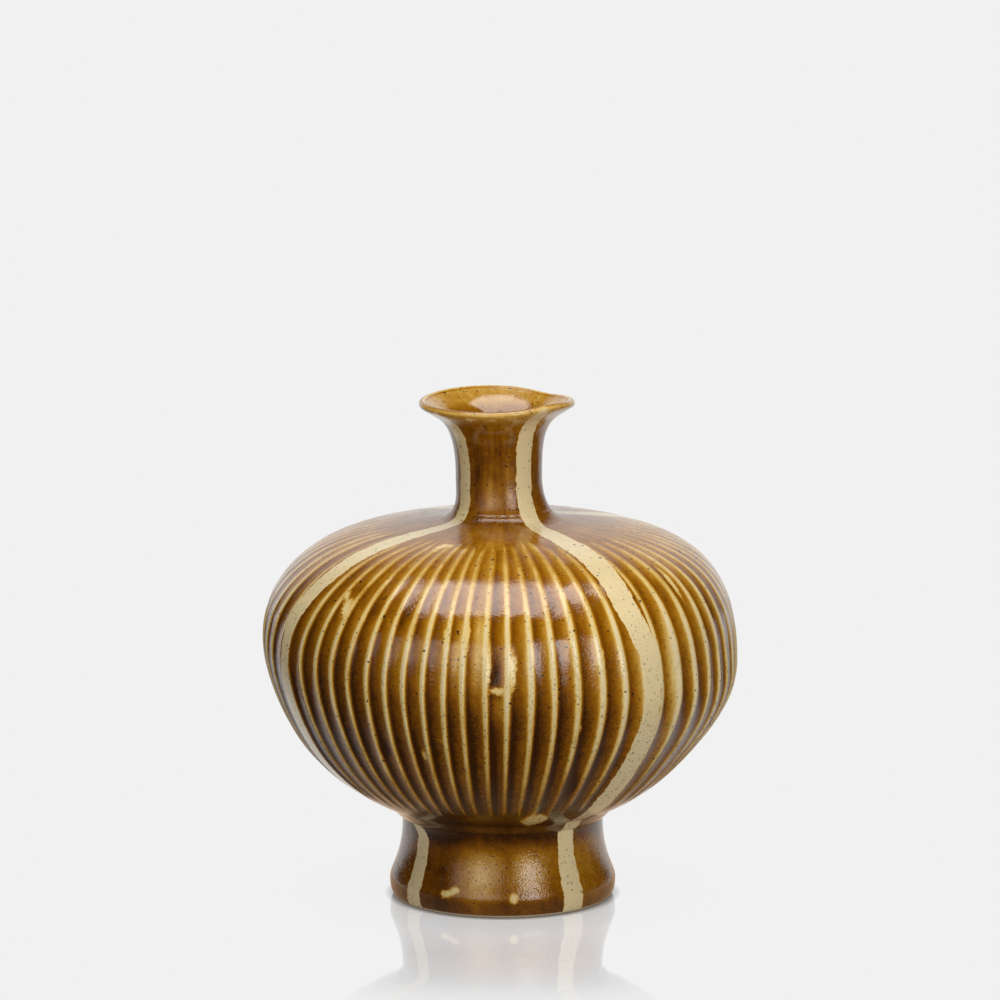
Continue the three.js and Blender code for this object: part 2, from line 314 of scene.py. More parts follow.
POOLS_AND_PAINTED_HIGHLIGHTS = [
    (-0.8, 105, 121, 2.2, 7, 0.24), (-0.8, 106, 106, 3.2, 8, -0.28),
    (-42, 91, 152, 2.6, 5, 0.22), (-6.2, 101, 130, 2.8, 22, -0.36),
    (-11.2, 102, 130, 3, 16, -0.24), (-31.5, 97, 83, 2.4, 3, 0.45),
    (21, 86, 66, 3.4, 8, 0.6), (-35, 60, 46, 10, 5, 0.16),
    (28, 62, 47, 8, 5, 0.16), (46, 104, 112, 4.6, 42, -0.2),
    (44, 105, 112, 34, 30, -0.22), (48, 104, 128, 20, 14, -0.07),
    (52, 80, 158, 20, 12, -0.1), (8, 104, 126, 34, 12, -0.07),
    (-62, 100, 88, 30, 16, -0.06), (-42, 104, 122, 26, 22, 0.06),
    (-8, 48, 169, 5, 5, -0.1), (12, 55, 167, 4, 6, -0.12),
    (24, 52, 168, 5, 6, 0.14), (-20, 48, 169, 5, 6, 0.12),
    (2, 62, 166, 5, 7, 0.07), (-25, 97, 143, 5, 7, 0.18),
    (-34, 97, 143, 4, 6, 0.15), (-12, 100, 139, 3, 6, 0.12),
    # The next two thin places are painted highlights, where the upright softboxes show on the foot's
    # front.
    (-13, 49, 18, 10, 16, -0.37), (14, 49, 20, 9, 14, -0.3),
    (3, 49, 24, 3, 8, 0.06), (-33, 50, 14, 5, 12, 0.1),
    (28, 50, 12, 3.5, 10, 0.08), (30, 45, 169, 22, 12, -0.06),
    (-13, 20, 184, 4, 8, -0.22), (12, 20, 190, 2.6, 16, -0.12),
    (-28, 19, 200, 3.4, 20, 0.2), (2, 19, 207, 4, 9, 0.09),
    (0, 24, 173, 30, 3, 0.1), (-40, 48, 20, 20, 26, 0.1),
    (0, 50, 6, 40, 3, 0.12), (0, 46, 35, 60, 4, 0.14),
    (50, 48, 20, 17, 24, -0.17),
]


def hills(places, azimuth, radius, height):
    """The sum of soft hills at the listed places."""
    total = np.zeros(np.shape(azimuth))
    for centre, reach, level, across, up, amount in places:
        sideways = np.radians(turn_away(azimuth, centre)) * radius / across
        lengthways = np.hypot(radius - reach, height - level) / up
        total += amount * np.exp(-(sideways**2 + lengthways**2))
    return total


# %% [markdown]
# ## Shaping a turned piece
#
# A turned piece knows its profile only as points. The step below reads them as azimuth, radius and
# height, with the wall's normal. It lets the piece's own rule move them, and then lets the pot
# settle. What the glaze needs to know is kept on the points as attributes. Faces that look inwards
# or straight down have no band.

# %% Applying the rules
FACES_IN = -0.1
FACES_DOWN = -0.97
SHARP_EDGE = math.radians(40)


def store(piece, name, values):
    attribute = piece.data.attributes.new(name, "FLOAT", "POINT")
    attribute.data.foreach_set("value", np.asarray(values, np.float32))


def read_vectors(collection, name):
    values = np.zeros(3 * len(collection))
    collection.foreach_get(name, values)
    return values.reshape(-1, 3).T


def shape(piece, rule=None):
    """Shapes a turned piece. A rule returns azimuth, radius, height, crest and lee."""
    x, y, z = read_vectors(piece.data.vertices, "co") / MM
    across, deep, up = read_vectors(piece.data.vertex_normals, "vector")
    radius = np.hypot(x, y)
    azimuth = np.degrees(np.arctan2(x, -y))
    out = (across * x + deep * y) / np.maximum(radius, 1)
    crest = np.zeros(len(x))
    lee = np.zeros(len(x))
    if rule:
        azimuth, radius, z, crest, lee = rule(azimuth, radius, z, out, up)
    hidden = (out < FACES_IN) | (up < FACES_DOWN)
    store(piece, "crest", crest)
    store(piece, "band_mm", np.where(hidden, FAR, band_distance(azimuth, radius, z)))
    store(piece, "bare", hills(BARE_PLACES, azimuth, radius, z))
    # The pools also carry the painted highlights on the foot.
    store(piece, "pool_and_highlight", hills(POOLS_AND_PAINTED_HIGHLIGHTS, azimuth, radius, z) + lee)
    turn = np.radians(azimuth)
    x, y, z = settle(radius * np.sin(turn), -radius * np.cos(turn), z)
    piece.data.vertices.foreach_set("co", (np.stack([x, y, z], 1) * MM).ravel())
    piece.data.update()


def put_in_place(piece, node):
    """Smooths a piece but for its sharp edges, and puts it in the node's place."""
    select_only(piece)
    bpy.ops.object.shade_smooth_by_angle(angle=SHARP_EDGE)
    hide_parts(node)
    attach(piece, "root")


# %% [markdown]
# ## Belly
#
# The belly is the showpiece. Its outside line is two Bezier curves that meet at the widest place.
# How far a handle reaches is a share of the span that its curve bridges. The inside follows at one
# wall's thickness, with few points, because only a little of it shows down the throat.

# %% Turn the belly
WALL = 5.5
FLOOR = 6
BORE = 15
UNDERSIDE = 44.8
UNDERSIDE_SLOPE = 17.7
UNDERSIDE_REACH = 0.65
BELLY_REACH = 0.3
SHOULDER_REACH = 0.98
LANDING_SLOPE = 11
LANDING_REACH = 0.3
OUTSIDE_STEPS = 57
INSIDE_STEPS = 7
FLUTE_COLUMNS = 12
BAND_COLUMNS = 8
PANEL_FLUTES = [18, 14, 14, 14]
COLUMNS = FLUTE_COLUMNS * sum(PANEL_FLUTES) + BAND_COLUMNS * len(PANEL_FLUTES)

underside_knot = (UNDERSIDE, SEAT)
widest_knot = (WIDEST, EQUATOR)
landing_knot = (NECK_COIL_REACH, LANDING)
outside = stroke(
    [
        underside_knot,
        leaving(underside_knot, UNDERSIDE_REACH * (WIDEST - UNDERSIDE), UNDERSIDE_SLOPE),
        (WIDEST, EQUATOR - BELLY_REACH * (EQUATOR - SEAT)),
        widest_knot,
        (WIDEST, EQUATOR + SHOULDER_REACH * (LANDING - EQUATOR)),
        leaving(landing_knot, -LANDING_REACH * (WIDEST - NECK_COIL_REACH), 180 - LANDING_SLOPE),
        landing_knot,
    ],
    OUTSIDE_STEPS,
)
ceiling = (NECK_COIL_REACH, LANDING - WALL)
hollow_floor = (UNDERSIDE - WALL / 2, SEAT + FLOOR)
inside = stroke(
    [
        ceiling,
        leaving(ceiling, 22, -LANDING_SLOPE),
        (WIDEST - WALL, LANDING - WALL - 4),
        (WIDEST - WALL, EQUATOR),
        (WIDEST - WALL, EQUATOR - 20),
        leaving(hollow_floor, 36, UNDERSIDE_SLOPE),
        hollow_floor,
    ],
    INSIDE_STEPS,
)
rim = straight(landing_knot, (BORE, LANDING), (BORE, LANDING - WALL), ceiling)
bottom = straight((0, SEAT), underside_knot)
hollow_bottom = straight((0, SEAT + FLOOR), hollow_floor)
belly = turned("thrown_belly", [outside, inside, rim, bottom, hollow_bottom], COLUMNS)

# %% [markdown]
# ## Flutes
#
# The potter cut the flutes with a loop of wire, freehand, from the shoulder down to the foot. They
# fill each panel between two bands, and fade out where a band drifts over them. The hand speeds up
# and slows down across a panel, so the pitch swings, and no two ribs stand quite alike. Now and then
# the loop was lifted, which left a bridge.
#
# The turned belly has as many columns of points as this pattern needs, so nothing is subdivided.
# Each column is given its place in a flute, with more columns near the ribs where the wall turns
# sharply, and a section rule then pushes it in along the wall's normal.

# %% Where each column of points goes
RIB_CROWDING = 0.5
SWING = 0.30
SWING_FLUTES = 17
SWING_START = -0.5
JITTER = 0.03
SEED = 11
random = np.random.default_rng(SEED)


def rib_places(flutes):
    """The ribs' places across a panel, from 0 to 1, with a swinging pitch and a little jitter."""
    number = np.arange(flutes + 1.0)
    number += SWING * np.sin(math.tau * (number - SWING_START) / SWING_FLUTES)
    number[1:-1] += JITTER * random.standard_normal(flutes - 1)
    return (number - number[0]) / (number[-1] - number[0])


def column_layout():
    """For each column: side, fluted or not, share across the side, flute, share across the flute."""
    rows = []
    for side, flutes in enumerate(PANEL_FLUTES):
        for step in range(BAND_COLUMNS):
            rows.append((side, 0, step / BAND_COLUMNS, 0, 0))
        ribs = rib_places(flutes)
        first = sum(PANEL_FLUTES[:side])
        for flute in range(flutes):
            for step in range(FLUTE_COLUMNS):
                even = step / FLUTE_COLUMNS
                across = even - RIB_CROWDING * math.sin(math.tau * even) / math.tau
                share = ribs[flute] + across * (ribs[flute + 1] - ribs[flute])
                rows.append((side, 1, share, first + flute, across))
    return np.array(rows)


layout = column_layout()
print(f"{len(layout)} columns, {sum(PANEL_FLUTES)} flutes")

# %% How deep a flute is
SEAMS = [
    [(SEAT, -63.5), (EQUATOR, -64.2), (EQUATOR + 30, -61.5), (LANDING, -57)],
    [(SEAT, 39), (EQUATOR, 39.5), (EQUATOR + 30, 37.2), (LANDING, 35)],
    [(SEAT, 127), (EQUATOR, 124.5), (LANDING, 120)],
    [(SEAT, 212), (EQUATOR, 209.3), (LANDING, 213)],
]
SEAM_WIDTH = 8
BAND_SHY = 2.0
FLUTE_DEPTH = [
    (SEAT, 0.9), (EQUATOR - 30, 1.2), (EQUATOR + 8, 1.1),
    (EQUATOR + 20, 0.5), (EQUATOR + 30, 0.24), (LANDING, 0.2),
]
FLUTE_PITCH = 10.2
SECTION_POWER = 2.4
SECTION_ROUNDING = 1.15
CREST_WIDTH = [(SEAT, 1.1), (EQUATOR - 20, 1.5), (EQUATOR, 1.75), (LANDING, 1.6)]
TOP_START, TOP_FADE, TOP_RAGGED = NECK_COIL_REACH + 10, 30, 3.5
FOOT_START, FOOT_FADE, FOOT_RAGGED = FOOT_COIL_REACH + 12, 12, 2.2
SHALLOWING_POWER = 0.7
LIFTS = [
    (-44, 97, 145, 5.5, 6, 0.75),
    (-1, 106, 115.5, 4.5, 2.6, 0.8),
    (-15, 101, 90, 4.5, 2.2, 0.8),
]
TREMOR = 0.12
TREMOR_RISE = 8
TREMOR_WAVES = [(1, 24, 31), (0.4, 11, 83)]
DEPTH_SPREAD = 0.09
COAT_SPREAD = 0.035
flutes = sum(PANEL_FLUTES)
depth_of_flute = 1 + DEPTH_SPREAD * random.standard_normal(flutes)
top_of_flute = TOP_START + TOP_RAGGED * random.standard_normal(flutes)
foot_of_flute = FOOT_START + FOOT_RAGGED * random.standard_normal(flutes)
coat_of_flute = COAT_SPREAD * random.standard_normal(flutes)


def presence(radius, height, flute):
    """The share of its full depth to which a flute is cut at a height."""
    above = eased(radius, top_of_flute[flute], top_of_flute[flute] + TOP_FADE)
    below = eased(radius, foot_of_flute[flute], foot_of_flute[flute] + FOOT_FADE)
    return np.where(height > EQUATOR, above, below) * (radius / WIDEST) ** SHALLOWING_POWER


def tremor(share, height):
    """Degrees by which the hand strayed sideways, none at the bands."""
    stray = 0
    for size, length, shift in TREMOR_WAVES:
        stray = stray + size * np.sin(height / length + shift * share)
    return TREMOR * stray * np.minimum(1, TREMOR_RISE * share * (1 - share))


# %% [markdown]
# Each point stores a lee: more coat, so a darker colour, just right of a rib, and less on the way
# up to the next one. The cut itself is the same on both sides of a flute.

# %% The flute rule
LEE = [(EQUATOR, 0.17), (EQUATOR + 28, 0.17), (EQUATOR + 36, 0.08), (LANDING, 0.08)]
DARKER_SIDE_HUMP = (2.3, 1.5)
LIGHTER_SIDE_HUMP = (2.4, 1.6)
RIB_SHOWS = (0.1, 0.5)
CREST_POWER = 1.6
SPIN_START = 90


def hump(distance, centre, width):
    """A soft hill of height 1."""
    return np.exp(-(((distance - centre) / width) ** 2))


def flute_rule(azimuth, radius, height, out, up):
    """Moves every column to its place and cuts the flutes into the outside of the wall."""
    column = np.rint((azimuth - SPIN_START) % 360 / 360 * COLUMNS).astype(int) % COLUMNS
    side, fluted, share, flute, across = layout[column].T
    side, flute = side.astype(int), flute.astype(int)
    rows = np.arange(len(azimuth))
    centres = np.stack([drifting(height, stations) for stations in SEAMS])
    halves = np.degrees(SEAM_WIDTH / 2 / np.maximum(radius, BORE))
    shares = np.array(BAND_SHARE)
    following = (side + 1) % len(SEAMS)
    start = centres[side, rows]
    span = (centres[following, rows] - start) % 360
    before, after = halves * shares[side], halves * shares[following]
    in_panel = start + before + share * (span - before - after) + tremor(share, height)
    in_band = start + (2 * share - 1) * before
    azimuth = np.where(fluted > 0, in_panel, in_band)

    faces_out = out * radius + up * (height - EQUATOR) > 0
    wall = np.where(faces_out, presence(radius, height, flute), 0) * fluted
    lifted = 1 - np.clip(hills(LIFTS, azimuth, radius, height), 0, 1)
    section = (1 - np.abs(2 * across - 1) ** SECTION_POWER) ** SECTION_ROUNDING
    clear_of_band = eased(band_distance(azimuth, radius, height), 0, BAND_SHY)
    cut = section * wall * depth_of_flute[flute] * lifted * clear_of_band
    pitch = FLUTE_PITCH * radius / WIDEST
    from_rib = np.minimum(across, 1 - across) * pitch
    shows = eased(wall, *RIB_SHOWS)
    crest = np.exp(-((from_rib / drifting(height, CREST_WIDTH)) ** CREST_POWER)) * shows
    moved = hump(across * pitch, *DARKER_SIDE_HUMP) - hump((1 - across) * pitch, *LIGHTER_SIDE_HUMP)
    lee = (drifting(height, LEE) * moved + coat_of_flute[flute]) * shows
    depth = drifting(height, FLUTE_DEPTH) * cut
    return azimuth, radius - depth * out, height - depth * up, crest, lee


shape(belly, flute_rule)
put_in_place(belly, "belly")

# %% [markdown]
# ## Foot ring
#
# The foot was thrown as a separate ring, flared so that the wide belly stands safely, and its edge
# was rounded with a wet sponge. It is hollow underneath. Only the narrow ring that it stands on was
# wiped clean of glaze before the firing, so that it doesn't stick to the kiln shelf.

# %% Turn the foot ring
FOOT_COLUMNS = 360
GROUND = 47.8
RECESS = 42.8
RECESS_TOP = 37
FOOT_TOP = (43, SEAT)
crease_knot = (45.2, CREASE)
waist = (44.9, CREASE - 2.9)
edge = (FOOT_EDGE, 7.6)
foot_outside = stroke(
    [
        (GROUND, 0), (49.67, 0.507), (FOOT_EDGE, 3.04), edge,
        (FOOT_EDGE, 11.53), (waist[0], 18.08), waist,
        (waist[0], CREASE - 1.5), (45, CREASE - 0.8), crease_knot,
    ],
    24,
)
foot_inside = straight(
    crease_knot, FOOT_TOP, (RECESS_TOP, SEAT), (RECESS, 0), (GROUND, 0), steps=6
)
foot = turned("thrown_foot_ring", [foot_outside, foot_inside], FOOT_COLUMNS)
shape(foot)
put_in_place(foot, "foot_ring")

# %% [markdown]
# ## Joint coils
#
# Foot, belly and neck were luted together with slip while the clay was leather hard. A coil of
# soft clay was pressed into each corner and smoothed with a finger. The lower one stays visible as
# a soft band under the belly. The upper one is drawn out so thin that neck and shoulder flow into
# each other.

# %% Turn the coils
foot_coil_tip = (FOOT_COIL_REACH + 0.9, SEAT + 2.95)
foot_coil_outside = stroke(
    [foot_coil_tip, leaving(foot_coil_tip, -2.6, 23.7), (47.3, CREASE + 0.3), crease_knot],
    16,
)
foot_coil_inside = straight(
    crease_knot, (43.3, SEAT - 0.3), (UNDERSIDE, SEAT - 0.1), foot_coil_tip
)
foot_coil = turned("foot_coil", [foot_coil_outside, foot_coil_inside], FOOT_COLUMNS)
shape(foot_coil)
put_in_place(foot_coil, "foot_joint_coil")

NECK_COLUMNS = 288
NECK_RADIUS = 19.2
NECK_COIL_INNER = 18.4
narrow_knot = (NECK_RADIUS, NARROW)
neck_coil_outside = stroke(
    [landing_knot, (19.5, LANDING + 2), (NECK_RADIUS, LANDING + 11.2), narrow_knot], 36
)
neck_coil_inside = straight(
    narrow_knot, (NECK_COIL_INNER, NARROW), (NECK_COIL_INNER, LANDING), landing_knot
)
neck_coil = turned("neck_coil", [neck_coil_outside, neck_coil_inside], NECK_COLUMNS)
shape(neck_coil)
put_in_place(neck_coil, "neck_joint_coil")

# %% [markdown]
# ## Neck
#
# The neck was thrown as a small trumpet and its rim rolled outwards over a finger. The roll is a
# half circle between the outer and the inner flare. It takes two curves, whose handles are the
# length with which a curve follows a quarter of a circle.

# %% Turn the neck
LIP_ROLL = 1.6
LIP_SLOPE = 35
ARC = 0.5523
FLARE_DEPTH = 7.4
RIM_REACH = 1.2
RIM_CRESTS = [(1, 112, 17), (0.6, 12, 26)]
RIM_LEES = [(0.34, 72, 15), (0.3, 165, 25)]
roll_centre = (LIP - LIP_ROLL, LIP_TOP - LIP_ROLL)


def on_roll(angle, out=0.0):
    """A point on the lip's roll, or out along the tangent from there."""
    turn = math.radians(angle)
    x = roll_centre[0] + LIP_ROLL * (math.cos(turn) - out * math.sin(turn))
    return (x, roll_centre[1] + LIP_ROLL * (math.sin(turn) + out * math.cos(turn)))


lip_under, lip_side, lip_over = LIP_SLOPE - 90, LIP_SLOPE, LIP_SLOPE + 90
neck_outside = stroke(
    [
        narrow_knot,
        (NECK_RADIUS, LIP_TOP - FLARE_DEPTH),
        leaving(on_roll(lip_under), -10, LIP_SLOPE),
        on_roll(lip_under),
    ],
    40,
)
neck_roll = stroke(
    [
        on_roll(lip_under), on_roll(lip_under, ARC), on_roll(lip_side, -ARC), on_roll(lip_side),
        on_roll(lip_side, ARC), on_roll(lip_over, -ARC), on_roll(lip_over),
    ],
    12,
)
neck_throat = stroke(
    [
        on_roll(lip_over),
        leaving(on_roll(lip_over), -8, LIP_SLOPE),
        (BORE, LIP_TOP - FLARE_DEPTH),
        (BORE, NARROW),
    ],
    36,
)
neck_bore = straight((BORE, NARROW), (BORE, LANDING), steps=8)
neck_seat = straight((BORE, LANDING), (NECK_RADIUS, LANDING))
neck_stem = straight((NECK_RADIUS, LANDING), narrow_knot, steps=8)
neck_strokes = [neck_outside, neck_roll, neck_throat, neck_bore, neck_seat, neck_stem]
neck = turned("thrown_neck", neck_strokes, NECK_COLUMNS)


def humps(turn, places):
    """The sum of humps at places of (amount, centre, width)."""
    return sum(amount * hump(turn, centre, width) for amount, centre, width in places)


def rim_rule(azimuth, radius, height, out, up):
    """Makes the rim light on its inner ridge and on its bead, and darker between them."""
    across, above = radius - roll_centre[0], height - roll_centre[1]
    turn = np.degrees(np.arctan2(above, across))
    on_rim = np.hypot(across, above) < RIM_REACH * LIP_ROLL
    return azimuth, radius, height, on_rim * humps(turn, RIM_CRESTS), on_rim * humps(turn, RIM_LEES)


shape(neck, rim_rule)
put_in_place(neck, "neck")

# %% [markdown]
# ## Wiring nodes
#
# The glaze is built from many small sums. This helper keeps them readable: each call adds one node
# and takes plain values or other nodes' outputs.

# %% A helper for node trees
MIX_COLOUR_INPUTS = (0, 6, 7)
MIX_COLOUR_OUTPUT = 2
NOISE_SPREAD = 3.0


class Wiring:
    """Adds nodes to one node tree."""

    def __init__(self, tree):
        self.tree = tree

    def feed(self, socket, value):
        if isinstance(value, bpy.types.NodeSocket):
            self.tree.links.new(value, socket)
        else:
            socket.default_value = value

    def add(self, kind, inputs=(), **settings):
        node = self.tree.nodes.new(kind)
        for name, value in settings.items():
            setattr(node, name, value)
        for name, value in dict(inputs).items():
            self.feed(node.inputs[name], value)
        return node

    def maths(self, operation, *values):
        node = self.add("ShaderNodeMath", operation=operation)
        for socket, value in zip(node.inputs, values):
            self.feed(socket, value)
        return node.outputs["Value"]

    def vector(self, operation, inputs):
        return self.add("ShaderNodeVectorMath", inputs, operation=operation).outputs[0]

    def chain(self, operation, values):
        """Sums or multiplies any number of values, one after the other."""
        total, *others = values
        for value in others:
            total = self.maths(operation, total, value)
        return total

    def sum(self, *values):
        return self.chain("ADD", values)

    def times(self, *values):
        return self.chain("MULTIPLY", values)

    def fade(self, value, low, high, start=0.0, end=1.0):
        """Goes smoothly from start, at low, to end, at high."""
        inputs = {"Value": value, "From Min": low, "From Max": high, "To Min": start, "To Max": end}
        return self.add("ShaderNodeMapRange", inputs, interpolation_type="SMOOTHSTEP").outputs["Result"]

    def noise(self, place, size, detail=2.0):
        """Lumps about size across, from about -1 to 1."""
        inputs = {"Vector": place, "Scale": 1 / size, "Detail": detail}
        node = self.add("ShaderNodeTexNoise", inputs)
        return self.maths("MULTIPLY_ADD", node.outputs["Fac"], NOISE_SPREAD, -NOISE_SPREAD / 2)

    def blend(self, share, first, second):
        node = self.add("ShaderNodeMix", {"Factor": share, "A": first, "B": second})
        return node.outputs["Result"]

    def blend_colour(self, share, first, second):
        node = self.add("ShaderNodeMix", data_type="RGBA")
        for index, value in zip(MIX_COLOUR_INPUTS, (share, first, second)):
            self.feed(node.inputs[index], value)
        return node.outputs[MIX_COLOUR_OUTPUT]

    def ramp(self, value, stops):
        """A colour for a value, from stops of (place, colour)."""
        node = self.add("ShaderNodeValToRGB", {"Fac": value})
        elements = node.color_ramp.elements
        for stop in stops[2:]:
            elements.new(stop[0])
        for element, (position, colour) in zip(elements, stops):
            element.position = position
            element.color = (*colour, 1)
        return node.outputs["Color"]

    def attribute(self, name):
        return self.add("ShaderNodeAttribute", attribute_name=name).outputs["Fac"]


def wiring_of(owner):
    """A material's or world's node tree, emptied."""
    owner.use_nodes = True
    owner.node_tree.nodes.clear()
    return Wiring(owner.node_tree)


def new_group(name, inputs, outputs):
    """A shader node group with named sockets, its wiring, and its inner input and output nodes."""
    group = bpy.data.node_groups.new(name, "ShaderNodeTree")
    for socket, kind in inputs.items():
        group.interface.new_socket(name=socket, in_out="INPUT", socket_type="NodeSocket" + kind)
    for socket, kind in outputs.items():
        group.interface.new_socket(name=socket, in_out="OUTPUT", socket_type="NodeSocket" + kind)
    wiring = Wiring(group)
    return group, wiring, wiring.add("NodeGroupInput").outputs, wiring.add("NodeGroupOutput").inputs


# %% [markdown]
# ## Where a point lies on the pot
#
# Patterns in fired clay have real sizes, so the first group gives the place in millimetres. It also
# gives a flow place, in which one step sideways is a fine line and one step along the wall is long.
# Noise read there makes the runs that glaze draws as it creeps down. The height comes by itself too.

# %% The place group
STREAK = 8.0
STREAK_LENGTH = 22.0
place_group, w, given, result = new_group(
    "pot_place", {}, {"Place": "Vector", "Flow": "Vector", "Height": "Float"}
)
coordinates = w.add("ShaderNodeTexCoord").outputs["Object"]
scaled = w.vector("SCALE", {0: coordinates, "Scale": 1 / MM})
parts = w.add("ShaderNodeSeparateXYZ", {0: scaled}).outputs
flat = w.add("ShaderNodeCombineXYZ", {0: parts[0], 1: parts[1]}).outputs[0]
sideways = w.vector("NORMALIZE", {0: flat})
wide = w.vector("SCALE", {0: sideways, "Scale": WIDEST / STREAK})
lift = w.add("ShaderNodeCombineXYZ", {2: w.times(parts[2], 1 / STREAK_LENGTH)}).outputs[0]
w.feed(result["Place"], scaled)
w.feed(result["Flow"], w.vector("ADD", {0: wide, 1: lift}))
w.feed(result["Height"], parts[2])
print("place group:", len(place_group.nodes), "nodes")

# %% [markdown]
# ## Iron specks
#
# Specks of iron in the clay melt and bleed through as small dark dots. A Voronoi pattern scatters
# one point in each cell, and a noise bends the cells so that no dot is quite round. Only a share of
# the cells shows its dot, and each has its own size.

# %% The speck group
WOBBLE = 1.5
WOBBLE_SCALE = 1.6
LEAST_SIZE = 0.35
SIZE_SPREAD = 0.9
DOT_EDGE = 0.12
speck_group, w, given, result = new_group(
    "iron_specks",
    {"Place": "Vector", "Cell": "Float", "Size": "Float", "Share": "Float"},
    {"Mask": "Float"},
)
bend = {"Vector": given["Place"], "Scale": WOBBLE_SCALE, "Detail": 1.0}
bend = w.add("ShaderNodeTexNoise", bend).outputs["Color"]
bend = w.vector("SCALE", {0: bend, "Scale": WOBBLE})
place = w.vector("ADD", {0: given["Place"], 1: bend})
cells = w.add("ShaderNodeTexVoronoi", {"Vector": place, "Scale": w.maths("DIVIDE", 1.0, given["Cell"])})
chance = w.add("ShaderNodeSeparateColor", {0: cells.outputs["Color"]}).outputs
distance = w.times(cells.outputs["Distance"], given["Cell"])
size = w.times(given["Size"], w.maths("MULTIPLY_ADD", chance[1], SIZE_SPREAD, LEAST_SIZE))
inside_dot = w.fade(w.maths("SUBTRACT", distance, size), DOT_EDGE, -DOT_EDGE)
shown = w.maths("LESS_THAN", chance[0], given["Share"])
w.feed(result["Mask"], w.times(inside_dot, shown))
print("speck group:", len(speck_group.nodes), "nodes")

# %% [markdown]
# ## The runny glaze
#
# One number decides the look of this glaze: how thick it lies. Thin glaze on cream clay is cream,
# then straw, amber and chestnut, and a pool is almost black. So the group first works out the
# thickness. It starts from the level for that height, thins it on the ribs, lets it streak and
# mottle, adds the pools, thins it where highlights are painted on the foot, and takes it away in the
# bands and at the bare places. A colour ramp then turns thickness into colour.
#
# The relief goes to a bump. It has slow waves that bend the reflections, the fine peel of a glaze
# that boiled, pinholes, and a small step at a band's edge, where the amber coat ends.

# %% The glaze group
GLAZE_STOPS = [
    (0.0, (0.62, 0.495, 0.275)),
    (0.15, (0.60, 0.44, 0.165)),
    (0.30, (0.50, 0.30, 0.068)),
    (0.45, (0.36, 0.175, 0.016)),
    (0.60, (0.25, 0.095, 0.0025)),
    (0.75, (0.155, 0.05, 0.001)),
    (0.90, (0.075, 0.022, 0.0006)),
    (1.0, (0.035, 0.010, 0.0005)),
]
IRON = (0.014, 0.007, 0.004, 1)
BROAD, MIDDLING, FINE, PEEL, SWELL = 16.0, 4.0, 1.2, 0.9, 9.0
DETAIL = 3.0
LINE_INPUTS = ["Level", "Rib Level", "Peel", "Pepper", "Dull", "Streak"]
MESH_INPUTS = {"Crest": "crest", "Band": "band_mm", "Bare": "bare", "Pool And Highlight": "pool_and_highlight"}
glaze_group, w, given, result = new_group(
    "runny_glaze",
    dict.fromkeys([*LINE_INPUTS, *MESH_INPUTS], "Float"),
    {"Color": "Color", "Relief": "Float", "Roughness": "Float"},
)
where = w.add("ShaderNodeGroup", node_tree=place_group).outputs
point = where["Place"]
noises = {
    "broad": w.noise(point, BROAD),
    "middling": w.noise(point, MIDDLING, DETAIL),
    "fine": w.noise(point, FINE),
    "streaks": w.noise(where["Flow"], 1.0, DETAIL),
}


def parts_of(**amounts):
    """Each named noise times its amount."""
    return [w.times(noises[name], amount) for name, amount in amounts.items()]


noises["crisp"] = w.sum(*parts_of(middling=0.5, fine=0.5))

# %% How thick the glaze lies, and its colour
GRAIN = 0.045
PEPPER_GRAIN = 0.06
RIB_EDGE = (0.08, 0.92)
BAND_EDGE = (0.3, -0.3)
BARE_EDGE = (0.24, 0.80)
BARE_COAT = 0.12
BARE_MOTTLE = 0.06
BAND_MOTTLE = 0.02
grain = w.maths("MULTIPLY_ADD", given["Pepper"], PEPPER_GRAIN, GRAIN)
uneven = w.sum(*parts_of(broad=0.05, middling=0.065, fine=grain))
coat = w.sum(given["Level"], uneven, *parts_of(streaks=given["Streak"]))
rib_coat = w.sum(given["Rib Level"], *parts_of(crisp=0.16, streaks=0.10, broad=0.10))
ragged = w.sum(*parts_of(middling=0.14, fine=0.09, streaks=0.08))
on_rib = w.fade(w.sum(given["Crest"], ragged), *RIB_EDGE)
# Pools thicken the coat, and the painted highlights on the foot thin it.
thickness = w.sum(w.blend(on_rib, coat, rib_coat), given["Pool And Highlight"])
in_band = w.fade(w.sum(given["Band"], *parts_of(middling=0.7, fine=0.25)), *BAND_EDGE)
is_bare = w.fade(w.sum(given["Bare"], *parts_of(crisp=0.4)), *BARE_EDGE)
bare_coat = w.maths("MULTIPLY_ADD", noises["middling"], BARE_MOTTLE, BARE_COAT)
thickness = w.blend(is_bare, thickness, bare_coat)
thickness = w.blend(in_band, thickness, w.times(noises["broad"], BAND_MOTTLE))
colour = w.ramp(thickness, GLAZE_STOPS)

# %% Its specks, relief and gloss
LARGE_SPECKS = (3.6, 0.55, 0.45)
SMALL_SPECKS = (1.6, 0.32, 0.6)
PEPPER_SPECKS = (1.5, 0.42, 0.5)
PINHOLES = (2.0, 0.4, 0.5)
IRON_DARKNESS = 0.92
PEPPER_DARKNESS = 0.8
ROUGH_FULL = 0.6
SWELL_HEIGHT = 0.05
FINE_HEIGHT = 0.012
PEEL_HEIGHT = 0.04
PIT_DEPTH = 0.08
COAT_STEP = 0.05
GLOSS = 0.07
PEEL_DULLING = 0.05
IRON_DULLING = 0.05
MOST_DULLING = 0.28
RIB_POLISH = 0.7


def specks(cell, size, share):
    """A mask of dots in a share of the cells. Cell and size are in millimetres."""
    inputs = {"Place": point, "Cell": cell, "Size": size, "Share": share}
    return w.add("ShaderNodeGroup", inputs, node_tree=speck_group).outputs["Mask"]


iron = w.maths("MAXIMUM", specks(*LARGE_SPECKS), specks(*SMALL_SPECKS))
pepper = w.times(specks(*PEPPER_SPECKS), given["Pepper"])
dark = w.maths("MAXIMUM", w.times(iron, IRON_DARKNESS), w.times(pepper, PEPPER_DARKNESS))
w.feed(result["Color"], w.blend_colour(dark, colour, IRON))

